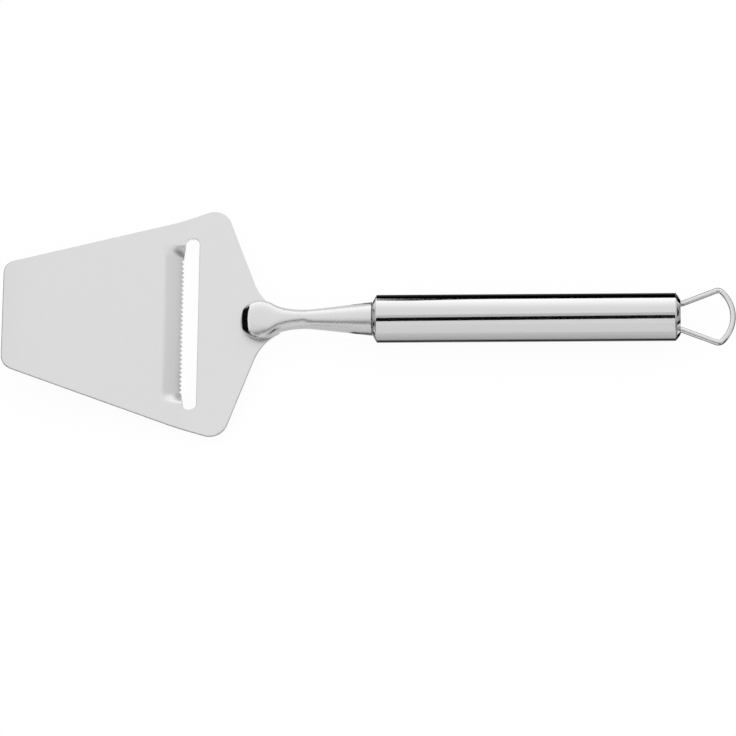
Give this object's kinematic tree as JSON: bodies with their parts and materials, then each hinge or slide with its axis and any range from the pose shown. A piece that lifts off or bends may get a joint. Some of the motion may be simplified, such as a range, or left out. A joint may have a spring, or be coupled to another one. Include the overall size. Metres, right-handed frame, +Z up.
{
  "type": "cheese slicer",
  "caption": "Steel cheese slicer with a bent, tapered blade, a toothed slicing slot, a forged neck, a round hollow handle and a wire loop for hanging.",
  "frame": {"origin": "on the table under the middle of the slicer, halfway between the blade's tip and the loop", "axes": "+X from the blade's tip towards the hanging loop, +Y across the blade, +Z up, away from the table"},
  "size_m": [0.24, 0.0776, 0.0162],
  "materials": {
    "blade": "satin stainless sheet",
    "neck": "fine satin",
    "handle": "mirror polish on stainless steel",
    "caps": "mirror polish on stainless steel",
    "wire": "polished drawn wire",
    "weld": "as welded"
  },
  "bodies": {
    "root": {"slicing_blade": "blade", "neck": "neck", "foot_weld": "weld", "front_cap": "caps", "tang_weld": "weld", "handle_tube": "handle", "rear_cap": "caps", "hanging_loop": "wire", "loop_weld_left": "weld", "loop_weld_right": "weld"}
  },
  "joints": []
}
